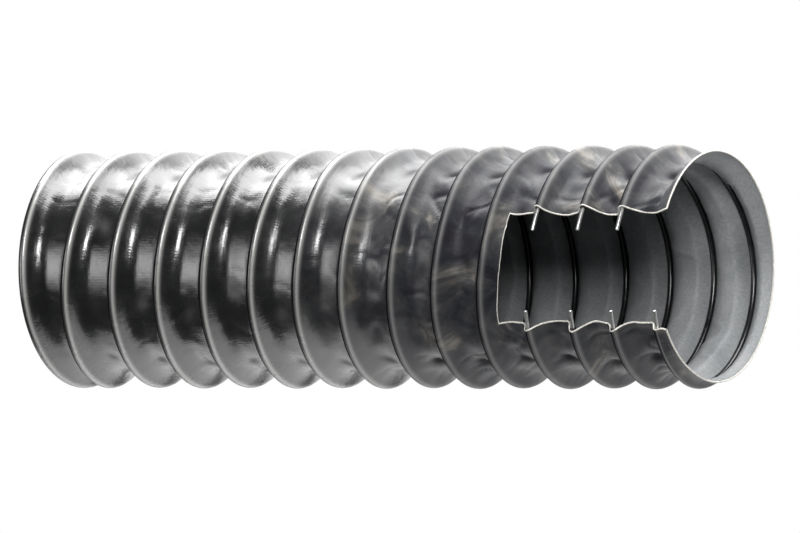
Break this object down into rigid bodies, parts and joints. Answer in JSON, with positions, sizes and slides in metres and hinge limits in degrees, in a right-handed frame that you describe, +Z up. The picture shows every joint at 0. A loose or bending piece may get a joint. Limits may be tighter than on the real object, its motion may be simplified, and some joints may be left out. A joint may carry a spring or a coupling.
{
  "type": "flexible air duct",
  "caption": "Round flexible air duct: a coated spring-steel wire helix in a black coated-fabric skin, with a cutaway window at one end that shows the wire inside.",
  "frame": {"origin": "centre of the opening at the inlet end, on the duct's axis, in the inlet end plane", "axes": "+X along the duct from the inlet end to the cut-open outlet end, +Z up, and the cutaway window faces -Y"},
  "size_m": [0.5, 0.1628, 0.1628],
  "materials": {
    "spring_steel": "bright drawn wire",
    "wire_coating": "glossy black",
    "skin": "black coated fabric, semi-gloss outside, matte grey inside"
  },
  "bodies": {
    "section_00": {"wire_turn_00": "spring_steel", "coating_turn_00": "wire_coating", "skin_turn_00": "skin", "end_ring_wire": "spring_steel", "end_ring_coating": "wire_coating", "skin_cuff_inlet": "skin"},
    "section_01": {"wire_turn_01": "spring_steel", "coating_turn_01": "wire_coating", "skin_turn_01": "skin"},
    "section_02": {"wire_turn_02": "spring_steel", "coating_turn_02": "wire_coating", "skin_turn_02": "skin"},
    "section_03": {"wire_turn_03": "spring_steel", "coating_turn_03": "wire_coating", "skin_turn_03": "skin"},
    "section_04": {"wire_turn_04": "spring_steel", "coating_turn_04": "wire_coating", "skin_turn_04": "skin"},
    "section_05": {"wire_turn_05": "spring_steel", "coating_turn_05": "wire_coating", "skin_turn_05": "skin"},
    "section_06": {"wire_turn_06": "spring_steel", "coating_turn_06": "wire_coating", "skin_turn_06": "skin"},
    "section_07": {"wire_turn_07": "spring_steel", "coating_turn_07": "wire_coating", "skin_turn_07": "skin"},
    "section_08": {"wire_turn_08": "spring_steel", "coating_turn_08": "wire_coating", "skin_turn_08": "skin"},
    "section_09": {"wire_turn_09": "spring_steel", "coating_turn_09": "wire_coating", "skin_turn_09": "skin"},
    "section_10": {"wire_turn_10": "spring_steel", "coating_turn_10": "wire_coating", "skin_turn_10": "skin"},
    "section_11": {"wire_turn_11": "spring_steel", "coating_turn_11": "wire_coating", "skin_turn_11": "skin"},
    "section_12": {"wire_turn_12": "spring_steel", "coating_turn_12": "wire_coating", "skin_turn_12": "skin"},
    "section_13": {"wire_turn_13": "spring_steel", "coating_turn_13": "wire_coating", "skin_turn_13": "skin", "skin_run_out": "skin", "skin_cuff_outlet": "skin"}
  },
  "joints": [
    {"name": "bend_side_01", "type": "hinge", "parent": "section_00", "child": "section_01", "pos_m": [0.046, 0, 0], "axis": [0, 0, 1], "range_deg": [-10, 10], "stiffness_Nm_per_rad": 30, "deforming": ["skin_turn_01", "skin_turn_00"]},
    {"name": "bend_up_02", "type": "hinge", "parent": "section_01", "child": "section_02", "pos_m": [0.0815, 0, 0], "axis": [0, -1, 0], "range_deg": [-10, 10], "stiffness_Nm_per_rad": 30, "deforming": ["skin_turn_02"]},
    {"name": "stretch_03", "type": "slide", "parent": "section_02", "child": "section_03", "axis": [1, 0, 0], "range_m": [-0.014, 0.004], "stiffness_N_per_m": 2000, "deforming": ["skin_turn_03"]},
    {"name": "bend_side_04", "type": "hinge", "parent": "section_03", "child": "section_04", "pos_m": [0.1525, 0, 0], "axis": [0, 0, 1], "range_deg": [-10, 10], "stiffness_Nm_per_rad": 30, "deforming": ["skin_turn_04"]},
    {"name": "bend_up_05", "type": "hinge", "parent": "section_04", "child": "section_05", "pos_m": [0.188, 0, 0], "axis": [0, -1, 0], "range_deg": [-10, 10], "stiffness_Nm_per_rad": 30, "deforming": ["skin_turn_05"]},
    {"name": "stretch_06", "type": "slide", "parent": "section_05", "child": "section_06", "axis": [1, 0, 0], "range_m": [-0.014, 0.004], "stiffness_N_per_m": 2000, "deforming": ["skin_turn_06"]},
    {"name": "bend_side_07", "type": "hinge", "parent": "section_06", "child": "section_07", "pos_m": [0.259, 0, 0], "axis": [0, 0, 1], "range_deg": [-10, 10], "stiffness_Nm_per_rad": 30, "deforming": ["skin_turn_07"]},
    {"name": "bend_up_08", "type": "hinge", "parent": "section_07", "child": "section_08", "pos_m": [0.2945, 0, 0], "axis": [0, -1, 0], "range_deg": [-10, 10], "stiffness_Nm_per_rad": 30, "deforming": ["skin_turn_08"]},
    {"name": "stretch_09", "type": "slide", "parent": "section_08", "child": "section_09", "axis": [1, 0, 0], "range_m": [-0.014, 0.004], "stiffness_N_per_m": 2000, "deforming": ["skin_turn_09"]},
    {"name": "bend_side_10", "type": "hinge", "parent": "section_09", "child": "section_10", "pos_m": [0.3655, 0, 0], "axis": [0, 0, 1], "range_deg": [-10, 10], "stiffness_Nm_per_rad": 30, "deforming": ["skin_turn_10"]},
    {"name": "bend_up_11", "type": "hinge", "parent": "section_10", "child": "section_11", "pos_m": [0.401, 0, 0], "axis": [0, -1, 0], "range_deg": [-10, 10], "stiffness_Nm_per_rad": 30, "deforming": ["skin_turn_11"]},
    {"name": "stretch_12", "type": "slide", "parent": "section_11", "child": "section_12", "axis": [1, 0, 0], "range_m": [-0.014, 0.004], "stiffness_N_per_m": 2000, "deforming": ["skin_turn_12"]},
    {"name": "bend_side_13", "type": "hinge", "parent": "section_12", "child": "section_13", "pos_m": [0.472, 0, 0], "axis": [0, 0, 1], "range_deg": [-10, 10], "stiffness_Nm_per_rad": 30, "deforming": ["skin_turn_13"]}
  ],
  "couplings": [
    {"joint": "bend_side_04", "follows": "bend_side_01", "ratio": 1},
    {"joint": "bend_up_05", "follows": "bend_up_02", "ratio": 1},
    {"joint": "stretch_06", "follows": "stretch_03", "ratio": 1},
    {"joint": "bend_side_07", "follows": "bend_side_01", "ratio": 1},
    {"joint": "bend_up_08", "follows": "bend_up_02", "ratio": 1},
    {"joint": "stretch_09", "follows": "stretch_03", "ratio": 1},
    {"joint": "bend_side_10", "follows": "bend_side_01", "ratio": 1},
    {"joint": "bend_up_11", "follows": "bend_up_02", "ratio": 1},
    {"joint": "stretch_12", "follows": "stretch_03", "ratio": 1},
    {"joint": "bend_side_13", "follows": "bend_side_01", "ratio": 1}
  ]
}
